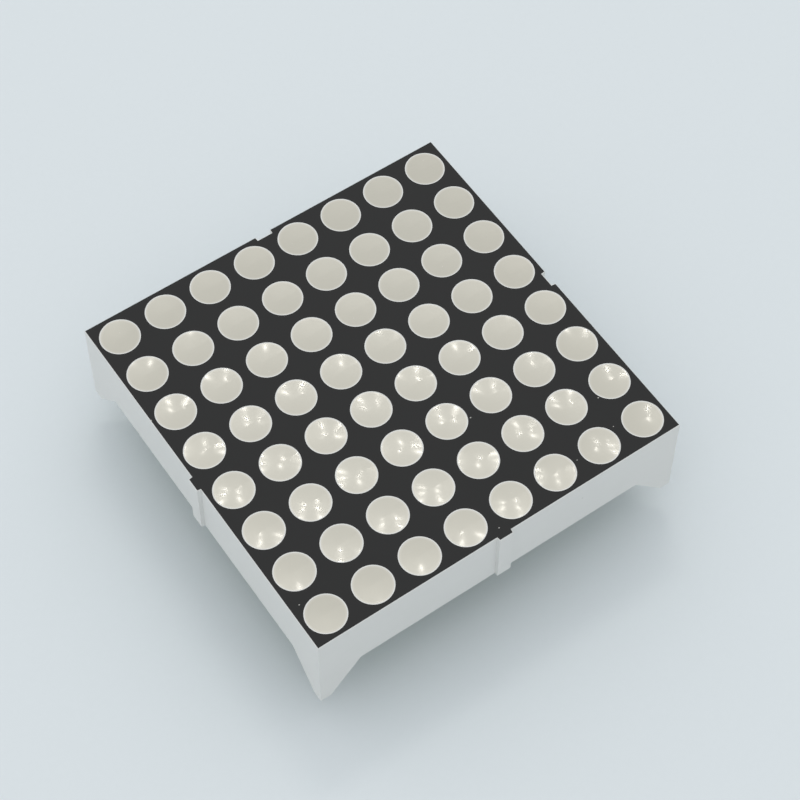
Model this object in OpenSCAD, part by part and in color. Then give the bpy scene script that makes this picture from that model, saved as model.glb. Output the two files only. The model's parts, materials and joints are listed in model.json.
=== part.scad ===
// LED dot matrix with 8 rows and 8 columns of round dots.
// A white moulded housing holds one cup for each dot. The cups are filled with milky
// resin, the face round them is printed black, and a circuit board closes the back.
// The origin is in the middle of the part, level with the tips of its pins, and the
// dots face +Z. Row 1 is the one furthest towards +Y and column 1 towards -X.

/* [Dots] */
// Distance between the middles of two neighbouring dots
dot_pitch = 4.75; // [4.6:0.05:4.8]
// Diameter of a milky window in the face
window_d = 3.55; // [3:0.05:3.6]
// Width of the bare white ring between a window and the ink
ring_w = 0.1; // [0.04:0.02:0.12]
// Depth of the sunk middle of a window
dish_depth = 0.03; // [0.02:0.01:0.1]
// Diameter of a cup at its lower end
cup_base_d = 2.4; // [2.3:0.05:2.6]

/* [Housing] */
// Width of the housing across its face
body_w = 37.9; // [37.8:0.1:40]
// Height of a side, from the face to its lower edge
wall_h = 6.4; // [5.6:0.1:9]
// How far each side leans outward, from the face to the feet
side_draft = 0.1; // [0.02:0.02:0.2]
// Bevel along the outer edges of the face
edge_bevel = 0.06; // [0.03:0.01:0.1]
// Thickness of the walls round the circuit board
wall_t = 1; // [0.8:0.05:1.1]
// Thickness of the ink on the face
ink_t = 0.03; // [0.02:0.01:0.06]

/* [Legs] */
// How far the legs reach below the sides
leg_h = 3.8; // [2:0.1:6]
// Width of a leg where it leaves the side
leg_w = 4.15; // [3:0.05:6]
// Width of a leg's foot
foot_w = 0.95; // [0.8:0.05:2]

/* [Guide ribs and grooves] */
// Width of a guide rib at its outer face
rib_w = 1.4; // [1:0.05:1.6]
// How far a guide rib stands out
rib_out = 0.35; // [0.2:0.05:0.45]
// How much wider a rib gets on each side towards its root
rib_flare = 0.05; // [0.02:0.01:0.1]
// Gap on each side of a rib in the groove of a neighbouring module
rib_side_gap = 0.04; // [0.02:0.01:0.1]
// Gap between a rib's outer face and the floor of that groove
rib_end_gap = 0.06; // [0.02:0.01:0.1]

/* [Circuit board] */
// Thickness of the board
board_t = 1.6; // [1:0.1:2]
// Gap between the board's edges and the walls
board_gap = 0.1; // [0.05:0.05:0.2]
// How far the board's back lies inside the lower edge of the sides
board_inset = 0.2; // [0:0.05:0.5]
// Thickness of the copper
copper_t = 0.035; // [0.03:0.005:0.07]
// Width of a copper track
track_w = 0.3; // [0.2:0.05:0.35]
// Least gap between a pin's land and a track that passes it
lane_gap = 0.15; // [0.1:0.05:0.2]
// Diameter of a plated through hole
via_d = 0.4; // [0.3:0.05:0.5]
// Width of the copper ring round a plated through hole
via_rim = 0.15; // [0.1:0.05:0.15]
// Distance of a dot's through hole from the middle of the dot
via_reach = 1.7; // [1.6:0.05:1.75]

/* [Dies and bond wires] */
// Width of a die
die_w = 0.3; // [0.2:0.05:0.4]
// Height of a die
die_t = 0.2; // [0.1:0.05:0.3]
// Diameter of the pad under a die
die_pad_d = 1; // [0.8:0.05:1]
// Diameter of the pad that a bond wire ends on
bond_pad_d = 0.5; // [0.3:0.05:0.5]
// Distance between the two ends of a bond wire
bond_reach = 0.85; // [0.85:0.01:0.9]
// Diameter of a bond wire
wire_d = 0.05; // [0.04:0.01:0.08]

/* [Pins] */
// Distance between neighbouring pins in a row
pin_pitch = 2.54; // [2.5:0.01:2.56]
// Diameter of a pin
pin_d = 0.5; // [0.4:0.05:0.6]
// How much further out a pin's root stands than its free part, where it grips the board
pin_root_step = 0.05; // [0.02:0.01:0.06]
// How far the pins reach below the feet
pin_out = 3.3; // [2:0.1:6]
// Bevel at the tip of a pin
pin_tip = 0.1; // [0.05:0.01:0.15]
// Diameter of the head that keeps a pin in the board
pin_head_d = 0.9; // [0.85:0.05:1]
// Height of that head
pin_head_t = 0.25; // [0.15:0.05:0.4]
// Gap round a pin's head in its recess in the housing
head_gap = 0.2; // [0.1:0.05:0.3]
// Gap round a pin's root in its hole in the board, which solder fills
pin_gap = 0.05; // [0.04:0.01:0.07]
// Diameter of the land round a pin on the back of the board
land_d = 1.5; // [1.4:0.05:1.5]
// Width of the land left bare round the solder
land_rim = 0.05; // [0.05:0.01:0.15]
// Thickness of the solder along its outer edges
solder_edge = 0.04; // [0.02:0.01:0.06]

/* [Hidden] */
count = 8;
pin_count = 2 * count;
all_dots = [1 : count];
first_pins = [1 : count];
second_pins = [count + 1 : pin_count];

function row_names(name) = [for (row = all_dots) str(name, "_row_", row)];

$fn = 48;
// How far a cut runs past the face that it opens
past = 1;

// Levels, from the pin tips upwards
foot_z = pin_out;
wall_z = foot_z + leg_h;
face_z = wall_z + wall_h;
board_back_z = wall_z + board_inset;
board_front_z = board_back_z + board_t;
shelf_z = board_front_z + copper_t;
land_z = board_back_z - copper_t;

// Widths
half_w = body_w / 2;
pocket_w = body_w - 2 * wall_t;
board_w = pocket_w - 2 * board_gap;
ink_hole_d = window_d + 2 * ring_w;
groove_w = rib_w + 2 * rib_side_gap;
groove_depth = rib_out + rib_end_gap;
pin_root_r = pin_d / 2 + pin_root_step;
pin_hole_d = 2 * (pin_root_r + pin_gap);
via_land_d = via_d + 2 * via_rim;

// The dish in a window is a shallow part of a sphere
dish_r = (pow(window_d / 2, 2) + pow(dish_depth, 2)) / (2 * dish_depth);

// Places of the dots, their wires and the pins. A dot's bond pad and through hole lie
// on the side of the die that looks to the middle of the board.
function row_y(row) = ((count + 1) / 2 - row) * dot_pitch;
function column_x(column) = (column - (count + 1) / 2) * dot_pitch;
function inward(column) = column_x(column) < 0 ? 1 : -1;
function via_x(column) = column_x(column) + inward(column) * via_reach;
// The pin rows run below the web between the two outer rows of dots on either side
pin_row_y = (row_y(1) + row_y(2)) / 2;
function pin_x(pin) = pin_pitch * (pin <= count ? pin - (count + 1) / 2 : (3 * count + 1) / 2 - pin);
function pin_y(pin) = pin <= count ? -pin_row_y : pin_row_y;

// A copper lane passes the pins' lands on the inner side of a pin row
lane_y = pin_row_y - land_d / 2 - lane_gap - track_w / 2;
// A through hole between a pin row and the cups beside it
lane_via_y = row_y(2) + (cup_base_d + via_land_d) / 2 + track_w / 10;

// ---- Helpers ----

// Carries a drawing of X and Z along Y
module along_y(length) {
    rotate([90, 0, 0])
        linear_extrude(height = length, center = true)
            children();
}

// Carries a drawing of Y and Z along X
module along_x(length) {
    rotate([90, 0, 90])
        linear_extrude(height = length, center = true)
            children();
}

// What is made for the -Y or +Y side, and again for the -X or +X side
module on_both_sides() {
    children();
    rotate([0, 0, -90])
        children();
}

// Puts its children in the middle of every dot
module at_every_dot() {
    for (row = all_dots)
        for (column = all_dots)
            translate([column_x(column), row_y(row), 0])
                children();
}

// ---- Housing ----

// Outline of the block seen from one side: it leans outward and is bevelled at the face
module side_profile(half) {
    polygon([
        [-half - side_draft, foot_z],
        [half + side_draft, foot_z],
        [half, face_z - edge_bevel],
        [half - edge_bevel, face_z],
        [-half + edge_bevel, face_z],
        [-half, face_z - edge_bevel]
    ]);
}

module block() {
    intersection() {
        along_y(2 * body_w)
            side_profile(half_w);
        along_x(2 * body_w)
            side_profile(half_w);
    }
}

// Guide rib on the -Y side, rooted in the wall
module rib() {
    root_w = rib_w + 2 * rib_flare;
    intersection() {
        translate([0, 0, wall_z])
            linear_extrude(height = wall_h)
                polygon([
                    [-root_w / 2, -half_w + wall_t / 2],
                    [-root_w / 2, -half_w],
                    [-rib_w / 2, -half_w - rib_out],
                    [-rib_w / 2, -half_w - rib_out - side_draft],
                    [rib_w / 2, -half_w - rib_out - side_draft],
                    [rib_w / 2, -half_w - rib_out],
                    [root_w / 2, -half_w],
                    [root_w / 2, -half_w + wall_t / 2]
                ]);
        along_x(body_w)
            side_profile(half_w + rib_out);
    }
}

// Groove in the +Y side, which takes a neighbour's rib. margin widens it for the ink.
module groove_outline(margin) {
    mouth_w = groove_w + 2 * rib_flare;
    polygon([
        [-mouth_w / 2 - margin, half_w + past],
        [-mouth_w / 2 - margin, half_w],
        [-groove_w / 2 - margin, half_w - groove_depth - margin],
        [groove_w / 2 + margin, half_w - groove_depth - margin],
        [mouth_w / 2 + margin, half_w],
        [mouth_w / 2 + margin, half_w + past]
    ]);
}

module groove() {
    translate([0, 0, foot_z - past])
        linear_extrude(height = face_z - foot_z + 2 * past)
            groove_outline(0);
}

// Gap between two legs, seen from one side
module leg_gap() {
    top = half_w - leg_w;
    bottom = half_w - foot_w;
    polygon([
        [-top, wall_z],
        [top, wall_z],
        [bottom, foot_z],
        [bottom, foot_z - past],
        [-bottom, foot_z - past],
        [-bottom, foot_z]
    ]);
}

module board_pocket() {
    translate([-pocket_w / 2, -pocket_w / 2, foot_z - past])
        cube([pocket_w, pocket_w, shelf_z - foot_z + past]);
}

module cup() {
    rotate_extrude()
        polygon([
            [0, shelf_z - past],
            [cup_base_d / 2, shelf_z - past],
            [cup_base_d / 2, shelf_z],
            [window_d / 2, face_z],
            [window_d / 2, face_z + past],
            [0, face_z + past]
        ]);
}

module head_recess(pin) {
    translate([pin_x(pin), pin_y(pin), shelf_z - past])
        cylinder(h = past + pin_head_t + head_gap, d = pin_head_d + 2 * head_gap);
}

module housing() {
    color("whitesmoke")
        difference() {
            union() {
                block();
                on_both_sides()
                    rib();
            }
            on_both_sides()
                groove();
            along_y(2 * body_w)
                leg_gap();
            along_x(2 * body_w)
                leg_gap();
            board_pocket();
            at_every_dot()
                cup();
            for (pin = [1 : pin_count])
                head_recess(pin);
        }
}

// ---- Face ----

module rib_outline(margin) {
    root_w = rib_w + 2 * rib_flare;
    polygon([
        [-root_w / 2 + margin, -half_w + wall_t / 2],
        [-root_w / 2 + margin, -half_w],
        [-rib_w / 2 + margin, -half_w - rib_out + margin],
        [rib_w / 2 - margin, -half_w - rib_out + margin],
        [root_w / 2 - margin, -half_w],
        [root_w / 2 - margin, -half_w + wall_t / 2]
    ]);
}

// The ink covers the face inside its bevel and leaves a white ring round each window
module face_mask() {
    color("#2a2828")
        translate([0, 0, face_z])
            linear_extrude(height = ink_t)
                difference() {
                    union() {
                        square(body_w - 2 * edge_bevel, center = true);
                        on_both_sides()
                            rib_outline(edge_bevel);
                    }
                    on_both_sides()
                        groove_outline(edge_bevel);
                    at_every_dot()
                        circle(d = ink_hole_d);
                }
}

// ---- What lies in a cup, with the middle of the dot at x = y = 0 ----

module die() {
    translate([-die_w / 2, -die_w / 2, shelf_z])
        cube([die_w, die_w, die_t]);
}

// The wire rises from the die, arches over and drops to its pad
module bond_wire(side) {
    arch_z = shelf_z + die_t;
    translate([side * bond_reach / 2, 0, arch_z])
        rotate([90, 0, 0])
            rotate_extrude(angle = 180)
                translate([bond_reach / 2, 0])
                    circle(d = wire_d);
    translate([side * bond_reach, 0, shelf_z])
        cylinder(h = die_t, d = wire_d);
}

module die_pad() {
    translate([0, 0, board_front_z])
        cylinder(h = copper_t, d = die_pad_d);
}

// Bond pad, and the track that takes it to the dot's through hole
module bond_track(side) {
    translate([side * bond_reach, 0, board_front_z])
        cylinder(h = copper_t, d = bond_pad_d);
    translate([side * (bond_reach + via_reach) / 2, 0, board_front_z + copper_t / 2])
        cube([via_reach - bond_reach, track_w, copper_t], center = true);
    translate([side * via_reach, 0, board_front_z])
        cylinder(h = copper_t, d = via_land_d);
}

// Piece of the column's track that runs past one dot
module column_track() {
    translate([0, 0, board_front_z + copper_t / 2])
        cube([track_w, dot_pitch, copper_t], center = true);
}

// The resin reaches from the board to the face and closes round all that lies in the cup
module lens(side) {
    difference() {
        rotate_extrude()
            difference() {
                polygon([
                    [0, board_front_z],
                    [cup_base_d / 2, board_front_z],
                    [cup_base_d / 2, shelf_z],
                    [window_d / 2, face_z],
                    [0, face_z]
                ]);
                translate([0, face_z - dish_depth + dish_r])
                    circle(r = dish_r, $fn = 1200);
            }
        die_pad();
        column_track();
        bond_track(side);
        die();
        bond_wire(side);
    }
}

module lens_row(row) {
    color("#d8d5ca")
        for (column = all_dots)
            translate([column_x(column), row_y(row), 0])
                lens(inward(column));
}

module die_row(row) {
    color("#8a7f70")
        for (column = all_dots)
            translate([column_x(column), row_y(row), 0])
                die();
}

module bond_wire_row(row) {
    color("gold")
        for (column = all_dots)
            translate([column_x(column), row_y(row), 0])
                bond_wire(inward(column));
}

// ---- Circuit board ----

// Each side has one list of through holes besides those of the dots. Those of the outer
// columns lie level with the pins, those of the middle columns beside the lane.
lane_columns = [count / 2, count / 2 + 1];
outer_columns = [1, count];

module via(x, y) {
    translate([x, y, board_back_z])
        cylinder(h = board_t, d = via_d);
}

module all_vias() {
    for (row = all_dots)
        for (column = all_dots)
            via(via_x(column), row_y(row));
    for (column = lane_columns)
        via(column_x(column), lane_via_y);
    for (column = outer_columns)
        via(column_x(column), pin_row_y);
}

module pin_holes() {
    for (pin = [1 : pin_count])
        translate([pin_x(pin), pin_y(pin), board_back_z - past])
            cylinder(h = board_t + 2 * past, d = pin_hole_d);
}

module board() {
    color("#2f6b45")
        difference() {
            translate([-board_w / 2, -board_w / 2, board_back_z])
                cube([board_w, board_w, board_t]);
            all_vias();
            pin_holes();
        }
}

// A straight track between two points that share their x or their y
module track(from, to, z) {
    low = [min(from.x, to.x) - track_w / 2, min(from.y, to.y) - track_w / 2];
    high = [max(from.x, to.x) + track_w / 2, max(from.y, to.y) + track_w / 2];
    translate([low.x, low.y, z])
        cube([high.x - low.x, high.y - low.y, copper_t]);
}

module land(x, y, d, z) {
    translate([x, y, z])
        cylinder(h = copper_t, d = d);
}

// Inner side: a column's track joins its dies. The four columns beside the outer ones and
// beside the middle ones reach a pin of the first row straight from their tracks.
module column_net(column) {
    x = column_x(column);
    track([x, row_y(1)], [x, row_y(count)], board_front_z);
    for (row = all_dots)
        translate([x, row_y(row), 0])
            die_pad();
}

// Pin of the first row that a column reaches on the inner side, by the column's number
column_links = [[2, 1], [3, 2], [6, 7], [7, 8]];

module column_link(column, pin) {
    track([column_x(column), pin_y(pin)], [pin_x(pin), pin_y(pin)], board_front_z);
}

// The four middle rows reach their pins by a feeder between two columns: row, column
// whose through hole it starts from, and pin
row_feeders = [[3, 6, 11], [4, 3, 14], [5, 6, 6], [6, 3, 3]];

module row_feeder(row, column, pin) {
    feeder_x = column_x(column) + inward(column) * dot_pitch / 2;
    track([via_x(column), row_y(row)], [feeder_x, row_y(row)], board_front_z);
    track([feeder_x, row_y(row)], [feeder_x, pin_y(pin)], board_front_z);
    track([feeder_x, pin_y(pin)], [pin_x(pin), pin_y(pin)], board_front_z);
}

module inner_copper() {
    color("#c07a45")
        difference() {
            union() {
                for (column = all_dots)
                    column_net(column);
                for (row = all_dots)
                    for (column = all_dots)
                        translate([column_x(column), row_y(row), 0])
                            bond_track(inward(column));
                for (link = column_links)
                    column_link(link[0], link[1]);
                for (feeder = row_feeders)
                    row_feeder(feeder[0], feeder[1], feeder[2]);
                for (column = lane_columns)
                    land(column_x(column), lane_via_y, via_land_d, board_front_z);
                for (column = outer_columns)
                    land(column_x(column), pin_row_y, via_land_d, board_front_z);
                for (pin = [1 : pin_count])
                    land(pin_x(pin), pin_y(pin), pin_head_d, board_front_z);
            }
            pin_holes();
        }
}

// Outer side: a row's track joins its through holes. The two outer rows on either side
// reach the pins beside the middle.
module row_net(row) {
    track([via_x(1), row_y(row)], [via_x(count), row_y(row)], land_z);
    for (column = all_dots)
        land(via_x(column), row_y(row), via_land_d, land_z);
}

// Pin that a row reaches on the outer side
row_links = [[1, 12], [2, 13], [7, 4], [8, 5]];

module row_link(row, pin) {
    track([pin_x(pin), row_y(row)], [pin_x(pin), pin_y(pin)], land_z);
}

// A middle column's lane passes one land on its way to its pin
module lane(column, pin) {
    x = column_x(column);
    land(x, lane_via_y, via_land_d, land_z);
    track([x, lane_y], [pin_x(pin), lane_y], land_z);
    track([pin_x(pin), lane_y], [pin_x(pin), pin_y(pin)], land_z);
}

module outer_link(column, pin) {
    land(column_x(column), pin_row_y, via_land_d, land_z);
    track([column_x(column), pin_row_y], [pin_x(pin), pin_y(pin)], land_z);
}

module outer_copper() {
    color("#c07a45")
        difference() {
            union() {
                all_vias();
                for (row = all_dots)
                    row_net(row);
                for (link = row_links)
                    row_link(link[0], link[1]);
                lane(4, 15);
                lane(5, 10);
                outer_link(1, 16);
                outer_link(8, 9);
                for (pin = [1 : pin_count])
                    land(pin_x(pin), pin_y(pin), land_d, land_z);
            }
            pin_holes();
        }
}

// ---- Pins ----

module pin(number) {
    color("silver")
        translate([pin_x(number), pin_y(number), 0])
            rotate_extrude()
                polygon([
                    [0, 0],
                    [pin_d / 2 - pin_tip, 0],
                    [pin_d / 2, pin_tip],
                    [pin_d / 2, land_z],
                    [pin_root_r, land_z],
                    [pin_root_r, shelf_z],
                    [pin_head_d / 2, shelf_z],
                    [pin_head_d / 2, shelf_z + pin_head_t],
                    [0, shelf_z + pin_head_t]
                ]);
}

// Solder fills the hole round a pin and runs out on its land in a hollow cone
module solder_joint() {
    cone_r = (land_d - pin_d) / 2 - land_rim;
    rotate_extrude() {
        translate([pin_root_r, land_z])
            square([pin_gap, shelf_z - land_z]);
        difference() {
            translate([pin_d / 2, land_z - cone_r])
                square(cone_r);
            translate([pin_d / 2 + cone_r, land_z - cone_r])
                circle(r = cone_r - solder_edge);
        }
    }
}

module solder_row(pins) {
    color("lightgray")
        for (pin = pins)
            translate([pin_x(pin), pin_y(pin), 0])
                solder_joint();
}

housing();
face_mask();
for (row = all_dots) {
    lens_row(row);
    die_row(row);
    bond_wire_row(row);
}
board();
inner_copper();
outer_copper();
for (number = [1 : pin_count]) {
    pin(number);
}
solder_row(first_pins);  // solder_row_1
solder_row(second_pins);  // solder_row_2
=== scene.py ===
# %% [markdown]
# # An LED dot matrix on a studio table
#
# This notebook dresses a finished CAD model: a square display block with 64 milky dots in a
# black printed face, a white moulded housing, a circuit board and sixteen pins. Every shape
# is already in the model, to a hundredth of a millimetre. What is left for Blender is what a
# drawing can't say: how moulded plastic, printed ink, cast resin, solder and tin catch light.
#
# The model is loaded first, and its box is noted, because nothing here may change its size.

# %% The model
import json
import math
import random

import bpy
from mathutils import Euler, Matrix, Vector


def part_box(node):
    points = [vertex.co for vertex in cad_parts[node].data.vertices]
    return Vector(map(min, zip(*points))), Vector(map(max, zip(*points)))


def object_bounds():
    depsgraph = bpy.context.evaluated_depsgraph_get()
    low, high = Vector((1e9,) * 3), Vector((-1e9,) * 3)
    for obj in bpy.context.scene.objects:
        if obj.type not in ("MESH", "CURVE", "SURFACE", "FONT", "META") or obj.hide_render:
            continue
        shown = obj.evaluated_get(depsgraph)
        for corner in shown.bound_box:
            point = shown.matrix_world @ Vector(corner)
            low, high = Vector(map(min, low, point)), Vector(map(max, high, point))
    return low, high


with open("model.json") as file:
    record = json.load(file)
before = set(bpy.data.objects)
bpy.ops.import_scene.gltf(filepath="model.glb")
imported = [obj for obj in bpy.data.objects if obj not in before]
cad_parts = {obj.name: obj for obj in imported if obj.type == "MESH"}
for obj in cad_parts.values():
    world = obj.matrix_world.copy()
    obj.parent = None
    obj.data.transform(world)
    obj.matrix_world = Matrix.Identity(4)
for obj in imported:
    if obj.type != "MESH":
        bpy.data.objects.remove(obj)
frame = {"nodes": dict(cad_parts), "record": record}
model_low, model_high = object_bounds()
print("nodes in the model:", len(frame["nodes"]))

# %% [markdown]
# ## Millimetres
#
# Blender works in metres, and the details here are tenths of a millimetre, so one short
# name keeps the numbers readable: `12 * MM` is twelve millimetres. The pitches of the dots
# and pins come from the model's own boxes where they can be measured.

# %% Sizes taken from the model
MM = 0.001


def middle_of(node):
    low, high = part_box(node)
    return (low + high) / 2


first_row, second_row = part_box("lens_row_1"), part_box("lens_row_2")
DOT_PITCH = first_row[0].y - second_row[0].y
DOT_WIDTH = first_row[1].y - first_row[0].y
FACE_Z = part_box("face_mask")[1].z
PIN_PITCH = middle_of("pin_2").x - middle_of("pin_1").x
PIN_ROW_Y = abs(middle_of("pin_1").y)
print("dot pitch", round(DOT_PITCH / MM, 3), "dot width", round(DOT_WIDTH / MM, 3))
print("pin pitch", round(PIN_PITCH / MM, 3), "pin rows at", round(PIN_ROW_Y / MM, 3))

# %% [markdown]
# ## Sums that run on a surface
#
# A procedural finish is arithmetic that Blender works out again at every point of a surface.
# Wired by hand, each plus and minus is a node with two cables. Here a small class wraps a
# socket and overloads Python's operators, so that `1 - mask * 0.3` adds the two Math nodes
# and the cables by itself. The reflected forms, such as `__rsub__`, let a plain number
# stand on the left.

# %% A socket that can be calculated with
class Signal:
    """A value that varies over a surface."""

    def __init__(self, finish, socket):
        self.finish = finish
        self.socket = socket

    def sum(self, operation, *values):
        return self.finish.add("ShaderNodeMath", {"operation": operation}, dict(enumerate(values)))

    def __add__(self, other):
        return self.sum("ADD", self, other)

    def __radd__(self, other):
        return self.sum("ADD", other, self)

    def __sub__(self, other):
        return self.sum("SUBTRACT", self, other)

    def __rsub__(self, other):
        return self.sum("SUBTRACT", other, self)

    def __mul__(self, other):
        return self.sum("MULTIPLY", self, other)

    def __rmul__(self, other):
        return self.sum("MULTIPLY", other, self)

    def __truediv__(self, other):
        return self.sum("DIVIDE", self, other)

    def __pow__(self, other):
        return self.sum("POWER", self, other)

    def __abs__(self):
        return self.sum("ABSOLUTE", self)

    def sine(self):
        return self.sum("SINE", self)

    def floor(self):
        return self.sum("FLOOR", self)

    def below(self, other):
        return self.sum("LESS_THAN", self, other)

    def above(self, other):
        return self.sum("GREATER_THAN", self, other)

    def at_least(self, other):
        return self.sum("MAXIMUM", self, other)

    def smooth(self, start, end):
        """0 before start and 1 after end, with a soft step between them."""
        settings = {"interpolation_type": "SMOOTHSTEP"}
        values = {"Value": self, "From Min": start, "From Max": end, "To Min": 0, "To Max": 1}
        return self.finish.add("ShaderNodeMapRange", settings, values)


# %% [markdown]
# ## A finish
#
# `Wiring` holds the nodes of a material or of the sky. Its `add` is the one method that makes
# a node of any type, sets its options and feeds its sockets with numbers, colours or
# signals. A few helpers sit on top of it: a place in millimetres, a noise that swings round
# zero, and a blend of two colours. A `Finish` is one material. It starts from a Principled
# shader, whose fixed numbers, such as the gloss of a clear coat, are set straight on its
# sockets, while everything that varies over the surface is wired in.

# %% The finish class
class Wiring:
    """The nodes of one material, or of the sky."""

    def __init__(self, tree):
        self.nodes = tree.nodes
        self.links = tree.links

    def feed(self, socket, value):
        if isinstance(value, Signal):
            self.links.new(value.socket, socket)
        elif isinstance(value, (tuple, list, Vector)) and len(socket.default_value) == 4:
            socket.default_value = (*value[:3], 1)
        else:
            socket.default_value = value

    def add(self, kind, settings=None, values=None, output=0):
        """A node of any kind: its settings first, then what goes into its sockets."""
        node = self.nodes.new(kind)
        for name, setting in (settings or {}).items():
            setattr(node, name, setting)
        for key, value in (values or {}).items():
            self.feed(node.inputs[key], value)
        return Signal(self, node.outputs[output])

    def place(self):
        """Where the point is on the object, in millimetres."""
        metres = self.add("ShaderNodeTexCoord", output="Object")
        return self.add("ShaderNodeVectorMath", {"operation": "SCALE"}, {0: metres, "Scale": 1 / MM})

    def parts(self, vector):
        """The three numbers in a vector."""
        split = self.add("ShaderNodeSeparateXYZ", values={0: vector})
        return [Signal(self, out) for out in split.socket.node.outputs]

    def stretch(self, vector, x, y, z):
        return self.add("ShaderNodeVectorMath", {"operation": "MULTIPLY"}, {0: vector, 1: (x, y, z)})

    def noise(self, vector, size, detail=2.0, roughness=0.5):
        """A cloudy pattern from about -1 to 1, whose clouds are size millimetres wide."""
        values = {"Vector": vector, "Scale": 1 / size, "Detail": detail, "Roughness": roughness}
        return (self.add("ShaderNodeTexNoise", {"noise_dimensions": "3D"}, values) - 0.5) * 2

    def blend(self, share, first, second):
        settings = {"data_type": "RGBA", "clamp_factor": True}
        return self.add("ShaderNodeMix", settings, {0: share, 6: first, 7: second}, output=2)

    def shade(self, colour, amount):
        """A colour made lighter or darker by a signal that swings round 1."""
        return self.add("ShaderNodeVectorMath", {"operation": "SCALE"}, {0: colour, "Scale": amount})


class Finish(Wiring):
    """One material, for one of the model's slots."""

    def __init__(self, name, slot, **fixed):
        self.slot = slot
        self.material = bpy.data.materials.new(name)
        self.material.use_nodes = True
        super().__init__(self.material.node_tree)
        self.shader = next(n for n in self.nodes if n.type == "BSDF_PRINCIPLED")
        for word, value in fixed.items():
            socket_name = word.replace("_", " ").title().replace("Ior", "IOR")
            self.shader.inputs[socket_name].default_value = value

    def finish(self, colour, roughness, metallic=None, height=None, depth=0.0):
        """Feeds the shader. Height is in millimetres, and depth says how much of it shows."""
        shader = self.shader.inputs
        for socket, value in (("Base Color", colour), ("Roughness", roughness), ("Metallic", metallic)):
            if value is not None:
                self.feed(shader[socket], value)
        if height is not None:
            settings = {"Height": height, "Strength": depth, "Distance": MM}
            self.feed(shader["Normal"], self.add("ShaderNodeBump", values=settings))
        return self


# %% Putting a finish on the model
def dress(finish):
    """Puts a finish on every node of the model that its slot belongs to."""
    dressed = [s["node"] for s in frame["record"]["subparts"] if s["material_slot"] == finish.slot]
    for node in dressed:
        materials = frame["nodes"][node].data.materials
        if not materials:
            materials.append(None)
        for index in range(len(materials)):
            materials[index] = finish.material
    print(finish.material.name, "on", len(dressed), "nodes")


# %% [markdown]
# ## Marks that are scattered at random
#
# Dust, pinholes and tiny chips share one recipe. A Voronoi texture divides space into cells,
# and gives each point its distance from the middle of its cell and a random colour for the
# cell. Only cells with a rare colour get a mark, and the mark is as wide as the distance
# allows, so the marks are sparse, round and of unequal size.

# %% Scattered marks
def scattered(finish, vector, spacing, rarity, size):
    """1 in small spots, else 0. A share of the cells, rarity, has a spot up to size mm in radius."""
    values = {"Vector": vector, "Scale": 1 / spacing, "Randomness": 1}
    cells = finish.add("ShaderNodeTexVoronoi", {"feature": "F1"}, values)
    cell = cells.socket.node
    chance = finish.parts(Signal(finish, cell.outputs["Color"]))
    reach = chance[1] * (size / spacing)
    return Signal(finish, cell.outputs["Distance"]).below(reach) * chance[0].below(rarity)


# %% [markdown]
# ## Three small patterns
#
# Some marks follow a rule and aren't random. The length of two numbers gives the distance
# from a point, which makes round spots and rings. Folding a coordinate into one pitch gives
# the distance from the nearest of many equal things, so one finish serves all 64 dots or
# all 16 pins.

# %% Length, fold and weave
def length_of(a, b):
    return (a * a + b * b) ** 0.5


def from_nearest(value, pitch):
    """Signed distance from the nearest middle, for an even number of things on a pitch."""
    turns = (value - pitch / 2) / pitch
    return (turns - (turns + 0.5).floor()) * pitch


def woven(x, y, pitch):
    """Checks from -1 to 1."""
    return (x * (math.tau / pitch)).sine() * (y * (math.tau / pitch)).sine()


# %% [markdown]
# ## The white housing
#
# The housing is moulded in a glossy grade of white polycarbonate loaded with titanium dioxide,
# against a finely eroded mould. The result is a satin surface: nearly even in colour, with
# soft cloudy changes in gloss, a fine grain that only shows in raking light, and here and
# there a scuff or a speck of dust. A picture texture would have to be unwrapped over cups,
# legs and ribs. Noise that is calculated from the place in millimetres needs no unwrapping
# and has the same grain on every face.

# %% White plastic
white = Finish("white_polycarbonate", "white_plastic", ior=1.58)
spot = white.place()
clouds = white.noise(spot, 6, detail=3)
flow = white.noise(white.stretch(spot, 0.3, 0.3, 1), 1.1, detail=3)
grain = white.noise(spot, 0.09, detail=2)
pores = white.noise(spot, 0.32, detail=3, roughness=0.6)
dust = scattered(white, spot, 2.1, 0.05, 0.10)
scuffs = white.noise(white.stretch(spot, 1, 1, 0.12), 0.5, detail=4).smooth(0.42, 0.75)

milk_white = (0.752, 0.766, 0.752)
tone = 1 + clouds * 0.014 + flow * 0.010 + pores * 0.010
tinted = white.shade(milk_white, tone)
dusty = white.blend(dust * 0.55, tinted, (0.42, 0.41, 0.39))
dress(white.finish(
    colour=dusty,
    roughness=0.40 + clouds * 0.04 + pores * 0.05 + scuffs * 0.10,
    height=grain * 0.0022 + pores * 0.0035 + dust * 0.02,
    depth=0.55,
))

# %% [markdown]
# ## The black face
#
# The face is screen printed. Ink is pressed through a woven mesh, so it dries with a very
# slight weave, small differences in gloss and a few pinholes where the mesh was blocked and
# the white plastic shows. The ink is matt but not dead: its roughness swings round a middle
# value, so a low view shows the print. Seven tiny flecks where this piece has lost its ink
# are listed in their places, because they are part of how it looks.

# %% Printed ink
ink = Finish("black_screen_ink", "black_ink", ior=1.45, specular_ior_level=0.35)
spot = ink.place()
x, y, _ = ink.parts(spot)
MESH_PITCH = 0.13
weave = woven(x, y, MESH_PITCH)
patches = ink.noise(spot, 4.5, detail=4, roughness=0.55)
tooth = ink.noise(spot, 0.11, detail=3, roughness=0.65)
pinholes = scattered(ink, spot, 2.6, 0.012, 0.10)
lint = scattered(ink, spot, 1.3, 0.022, 0.06)

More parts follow.
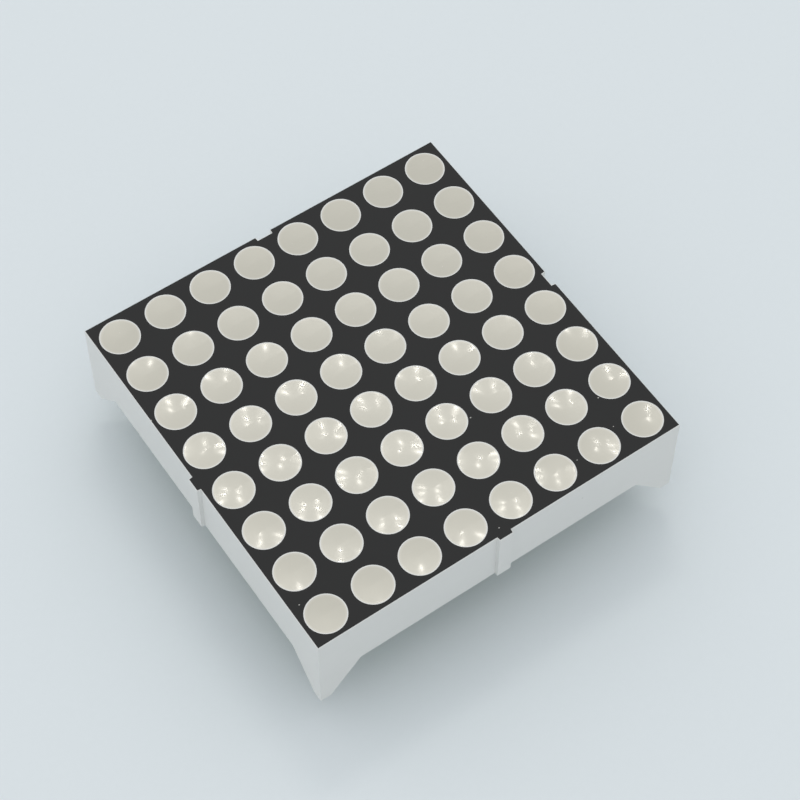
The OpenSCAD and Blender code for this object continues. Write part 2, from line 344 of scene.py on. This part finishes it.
# %% Flecks in the ink: x, y and radius of each, in mm
FLECKS = (
    (-18.90, 7.55, 0.10), (4.30, -8.00, 0.08), (14.75, -12.70, 0.08), (14.05, -15.80, 0.06),
    (-0.05, -18.25, 0.07), (9.40, -16.70, 0.06), (-18.00, -14.70, 0.07),
)
FLATNESS = 1.4
for fleck_x, fleck_y, fleck_radius in FLECKS:
    pinholes = pinholes + length_of(x - fleck_x, (y - fleck_y) * FLATNESS).below(fleck_radius)
print("flecks:", len(FLECKS))

# %% Ink on the face
ink_black = (0.0145, 0.0143, 0.0145)
faded = ink.shade(ink_black, 1 + patches * 0.10 + tooth * 0.14)
holed = ink.blend(pinholes * 0.8, faded, (0.50, 0.50, 0.48))
dress(ink.finish(
    colour=ink.blend(lint * 0.45, holed, (0.30, 0.29, 0.27)),
    roughness=0.56 + patches * 0.05 + tooth * 0.06,
    height=weave * 0.0012 + tooth * 0.004 - pinholes * 0.02,
    depth=0.6,
))

# %% [markdown]
# ## The milky dots
#
# Each cup is filled with epoxy that carries a diffusing powder. The powder makes it look like
# skimmed milk, and as it cures it shrinks into a shallow dish with a glossy skin. The dish is
# in the model. The finish adds what the powder does: a faint warm cloudiness, and the pale
# meniscus where resin creeps up the wall of its cup. The gloss has two layers. The powder
# just under the skin gives a wide soft glow, and a thin clear coat keeps a small sharp image
# of each lamp, which ripples far thinner than a hair break up a little.

# %% Distance from the nearest dot
def from_dot(finish, spot):
    x, y, _ = finish.parts(spot)
    pitch = DOT_PITCH / MM
    return length_of(from_nearest(x, pitch), from_nearest(y, pitch))


# %% Milky resin
resin = Finish("milky_epoxy", "milky_resin", ior=1.52, coat_weight=0.155, coat_roughness=0.055, coat_ior=1.5)
spot = resin.place()
edge = DOT_WIDTH / MM / 2
rim = from_dot(resin, spot).smooth(edge - 0.22, edge - 0.02)
haze = resin.noise(spot, 0.9, detail=3)
powder = resin.noise(spot, 0.16, detail=3, roughness=0.6)
ripple = resin.noise(spot, 0.55, detail=2)
bubbles = scattered(resin, spot, 0.55, 0.16, 0.055)

warm_milk = (0.514, 0.502, 0.436)
cloudy = resin.shade(warm_milk, 1 + haze * 0.016 + powder * 0.018)
rimmed = resin.blend(rim * 0.45, cloudy, (0.64, 0.63, 0.58))
dress(resin.finish(
    colour=resin.blend(bubbles * 0.35, rimmed, (0.74, 0.73, 0.68)),
    roughness=0.225 + powder * 0.05,
    height=ripple * 0.00020 + powder * 0.00007 + bubbles * 0.0001,
    depth=1.0,
))

# %% [markdown]
# ## Dies and bond wires
#
# At the bottom of each cup sits a die, a crumb of grey semiconductor with a gold pad on top,
# and a hair of gold wire runs from it to the board. The resin hides them, but the model can
# be opened, so they get a finish too. The die's sawn sides are streaked and its top has a
# round gold contact: again a distance from the nearest dot.

# %% Semiconductor and gold
die = Finish("sawn_die", "die")
spot = die.place()
height_up = die.parts(spot)[2]
die_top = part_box("die_row_1")[1].z / MM
CONTACT_RADIUS = 0.07
contact = from_dot(die, spot).below(CONTACT_RADIUS) * height_up.above(die_top - 0.005)
saw = die.noise(die.stretch(spot, 1, 1, 14), 0.09, detail=3)
dress(die.finish(
    colour=die.blend(contact, die.shade((0.20, 0.17, 0.15), 1 + saw * 0.22), (0.83, 0.60, 0.25)),
    roughness=0.36 + saw * 0.12 - contact * 0.12,
    metallic=0.35 + contact * 0.6,
    height=saw * 0.002,
    depth=0.6,
))

gold = Finish("gold_wire", "bond_wire")
spot = gold.place()
drawn = gold.noise(gold.stretch(spot, 0.3, 1, 1), 0.02, detail=2)
dress(gold.finish(
    colour=gold.shade((0.89, 0.66, 0.28), 1 + drawn * 0.05),
    roughness=0.22 + drawn * 0.06,
    metallic=1.0,
))

# %% [markdown]
# ## The circuit board
#
# The board is glass cloth in epoxy, about 1.6 mm thick, coated with green solder resist.
# Cut edges and drilled holes show the raw straw-coloured laminate with its layers of cloth,
# so the finish asks which way a face looks: flat faces are green, and walls are raw.
# The cloth shows through the resist as a faint checked weave.

# %% Laminate and solder resist
board = Finish("green_resist_on_laminate", "board_laminate", ior=1.5, coat_weight=0.6, coat_roughness=0.12)
spot = board.place()
x, y, z = board.parts(spot)
facing = board.parts(board.add("ShaderNodeNewGeometry", output="Normal"))
wall = abs(facing[2]).below(0.5)
CLOTH_PITCH = 0.55
LAYER_PITCH = 0.19
cloth = woven(x, y, CLOTH_PITCH)
layers = (z * (math.tau / LAYER_PITCH)).sine()
pooling = board.noise(spot, 2.4, detail=3)
fine = board.noise(spot, 0.14, detail=2)
resist = board.shade((0.020, 0.135, 0.052), 1 + cloth * 0.10 + pooling * 0.12)
raw = board.shade((0.52, 0.45, 0.26), 1 + layers * 0.10 + fine * 0.14)
dress(board.finish(
    colour=board.blend(wall, resist, raw),
    roughness=0.34 + pooling * 0.05 + wall * 0.30 + fine * 0.04,
    height=cloth * 0.0025 + pooling * 0.003 + wall * fine * 0.01,
    depth=0.6,
))

# %% [markdown]
# ## Copper, bare and covered
#
# Tracks run under the green resist, where copper shows as a lighter, yellower green. Only
# the lands round the pins are left bare, and those are tinned by the soldering. One finish
# does both: the distance from the nearest pin is folded out of the place, as for the dots,
# and inside the land's radius the surface turns from covered copper to tin.

# %% Tracks and lands
copper = Finish("copper_tracks_and_tinned_lands", "copper")
spot = copper.place()
x, y, z = copper.parts(spot)
pin_step = PIN_PITCH / MM
LAND_RADIUS = 0.78
from_pin = length_of(from_nearest(x, pin_step), abs(y) - PIN_ROW_Y / MM)
among_pins = abs(x).below(4.2 * pin_step)
outer_side = z.below(middle_of("board").z / MM)
bare = from_pin.below(LAND_RADIUS) * among_pins * outer_side
brushed = copper.noise(copper.stretch(spot, 1, 0.2, 1), 0.10, detail=3)
stain = copper.noise(spot, 1.2, detail=3)
covered = copper.shade((0.060, 0.235, 0.075), 1 + stain * 0.10)
tinned = copper.shade((0.60, 0.59, 0.56), 1 + stain * 0.08 + brushed * 0.06)
inner = copper.shade((0.72, 0.42, 0.24), 1 + stain * 0.10 + brushed * 0.07)
outside = copper.blend(bare, covered, tinned)
bare_metal = 1 - outer_side * (1 - bare)
dress(copper.finish(
    colour=copper.blend(outer_side, inner, outside),
    roughness=0.30 + brushed * 0.06 + stain * 0.04,
    metallic=bare_metal * 0.95,
    height=brushed * 0.0015 + stain * 0.003,
    depth=0.5,
))

# %% [markdown]
# ## Pins and solder
#
# The pins are drawn wire with a bright tin plating. Drawing leaves very fine lines along
# the pin, so the noise is squeezed across the pin and stretched along it. Solder is the
# same metal but it froze from a liquid: smooth, slightly frosted, with a little brown flux
# left where it meets the land.

# %% Tin
tin = Finish("bright_tin", "tinned_pin")
spot = tin.place()
lines = tin.noise(tin.stretch(spot, 1, 1, 0.05), 0.06, detail=3)
blotches = tin.noise(spot, 0.8, detail=3)
dress(tin.finish(
    colour=tin.shade((0.74, 0.735, 0.715), 1 + lines * 0.05 + blotches * 0.05),
    roughness=0.24 + lines * 0.07 + blotches * 0.06,
    metallic=1.0,
    height=lines * 0.002 + blotches * 0.002,
    depth=0.5,
))

# %% Solder
solder = Finish("frosted_solder", "solder")
spot = solder.place()
crystals = solder.noise(spot, 0.12, detail=3, roughness=0.6)
folds = solder.noise(spot, 0.45, detail=2)
land_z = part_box("outer_copper")[0].z / MM
flux = solder.parts(spot)[2].smooth(land_z - 0.10, land_z) * (folds * 0.5 + 0.5)
silver = solder.shade((0.66, 0.66, 0.65), 1 + crystals * 0.07 + folds * 0.04)
dress(solder.finish(
    colour=solder.blend(flux * 0.5, silver, (0.34, 0.22, 0.09)),
    roughness=0.27 + crystals * 0.10 + flux * 0.15,
    metallic=1 - flux * 0.4,
    height=crystals * 0.003 + folds * 0.006,
    depth=0.6,
))

# %% [markdown]
# ## The table
#
# The part stands on the tips of its pins, so the table's top is at the lowest point of the
# model. It is a wide, plain, pale sheet with a hint of blue, like a sheet of paper in
# daylight.

# %% Table top
def flat_sheet(name, width, height):
    mesh = bpy.data.meshes.new(name)
    half = width / 2
    corners = [(-half, -half, height), (half, -half, height), (half, half, height), (-half, half, height)]
    mesh.from_pydata(corners, [], [(0, 1, 2, 3)])
    sheet = bpy.data.objects.new(name, mesh)
    bpy.context.scene.collection.objects.link(sheet)
    return sheet


paper = Finish("pale_paper", "table", ior=1.4)
spot = paper.place()
fibres = paper.noise(spot, 0.6, detail=4, roughness=0.6)
paper.finish(
    colour=paper.shade((0.722, 0.785, 0.822), 1 + fibres * 0.012),
    roughness=0.75 + fibres * 0.05,
    height=fibres * 0.004,
    depth=0.3,
)
TABLE_WIDTH = 6.0
table = flat_sheet("table_top", TABLE_WIDTH, model_low.z)
table.data.materials.append(paper.material)
print("table top at", round(model_low.z / MM, 3), "mm")

# %% [markdown]
# ## Light
#
# All of the soft light comes from a pale sky, brighter overhead than at the horizon and a
# little brighter at the back, as in a white room. It gives soft shadows and lets every
# colour render about as it was written. High up behind the part hangs a fitting with three
# rows of eight small lamps. They add little light, but the dots are shallow concave mirrors,
# and each shows a few of the lamps as small warm stars that wander from dot to dot.
#
# The camera, and any glossy surface, sees a plain pale backdrop wherever the table ends. The
# sky is so even that rays which bounce into it by chance find enough light, so it isn't
# aimed at: all the aimed rays are left for the small lamps, whose stars then come out clean.

# %% Sky
world = bpy.data.worlds.new("pale_sky")
bpy.context.scene.world = world
world.use_nodes = True
world.cycles.sampling_method = "NONE"
sky = Wiring(world.node_tree)
background = next(n for n in sky.nodes if n.type == "BACKGROUND")
x, y, z = sky.parts(sky.add("ShaderNodeTexCoord", output="Generated"))
overhead = z.at_least(0)
level = 0.52 + overhead * 0.56 - x * 0.05 + y * 0.08
paths = sky.add("ShaderNodeLightPath").socket.node.outputs
seen = Signal(sky, paths["Is Camera Ray"])
for kind in ("Glossy", "Transmission"):
    seen = seen + Signal(sky, paths[f"Is {kind} Ray"])
lit = sky.shade((1.0, 1.0, 1.0), level)
backdrop = (0.86, 0.90, 0.92)
sky.feed(background.inputs["Color"], sky.blend(seen, lit, backdrop))
print("nodes in the sky:", len(sky.nodes))

# %% Small lamps in rows
LAMP_ROWS, LAMPS_IN_ROW = 3, 8
LAMP_POWER = 0.29
HEIGHT_OVER_FACE = 1.5
fitting_middle = Vector((0.4743, 0.7090, HEIGHT_OVER_FACE + FACE_Z))
along_row = Vector((0.05077, -0.03065, 0))
across_rows = Vector((-0.01816, -0.02873, 0))
random.seed(5)
for row in range(LAMP_ROWS):
    for number in range(LAMPS_IN_ROW):
        star = bpy.data.lights.new(f"star_{row}_{number}", "POINT")
        star.shadow_soft_size = 0.002
        star.energy = LAMP_POWER * random.uniform(0.85, 1.15)
        star.color = (1.0, 0.965, 0.88)
        lamp = bpy.data.objects.new(star.name, star)
        step, line = number - (LAMPS_IN_ROW - 1) / 2, row - (LAMP_ROWS - 1) / 2
        lamp.location = fitting_middle + along_row * step + across_rows * line
        bpy.context.scene.collection.objects.link(lamp)
print("small lamps:", LAMP_ROWS * LAMPS_IN_ROW)

# %% [markdown]
# ## Camera
#
# The camera looks down steeply from the front left, so that one corner leg points at the
# viewer. It is a long lens from about twenty centimetres, which is close: the near corner
# is clearly larger than the far one.

# %% Camera
lens = bpy.data.cameras.new("camera")
lens.sensor_width = 36
lens.lens = 98.94
camera = bpy.data.objects.new("camera", lens)
camera.location = (-57.44 * MM, -85.65 * MM, 178.39 * MM)
camera.rotation_euler = Euler([math.radians(angle) for angle in (31.434, -0.189, -34.607)])
lens.clip_start = 0.01
bpy.context.scene.collection.objects.link(camera)
bpy.context.scene.camera = camera
print("camera to the face, in mm:", round((camera.location.z - FACE_Z) / MM, 1))

view = bpy.context.scene.view_settings
view.view_transform = "Standard"
